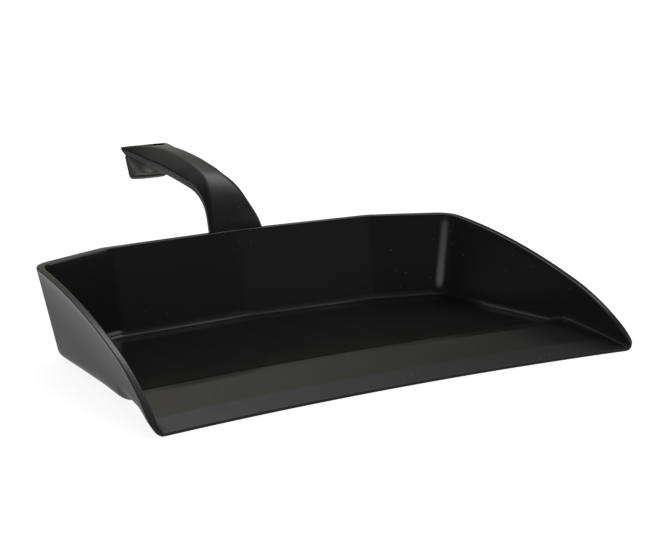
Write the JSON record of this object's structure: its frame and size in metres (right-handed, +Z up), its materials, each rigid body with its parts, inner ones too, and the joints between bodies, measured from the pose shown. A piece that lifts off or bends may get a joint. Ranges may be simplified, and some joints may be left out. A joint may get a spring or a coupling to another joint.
{
  "type": "hand dustpan",
  "caption": "Shallow moulded dustpan with a thin bowed lip, a low dam behind it and an arched rear handle with hanging eye and hook, for sweeping up dust and litter.",
  "frame": {"origin": "middle of the overall length and width, on the surface the pan lies on", "axes": "+Z up, +Y from the mouth towards the handle, +X to the right when looking from the mouth towards the handle"},
  "size_m": [0.296, 0.303, 0.0885],
  "materials": {
    "black_plastic": "semi-matte moulded polypropylene"
  },
  "bodies": {
    "root": {"front_lip": "black_plastic", "front_dam": "black_plastic", "floor_panel": "black_plastic", "left_wall": "black_plastic", "right_wall": "black_plastic", "rear_corner_left": "black_plastic", "rear_corner_right": "black_plastic", "rear_wall": "black_plastic", "handle_root": "black_plastic", "handle_grip": "black_plastic", "handle_end": "black_plastic", "handle_hook": "black_plastic"}
  },
  "joints": []
}
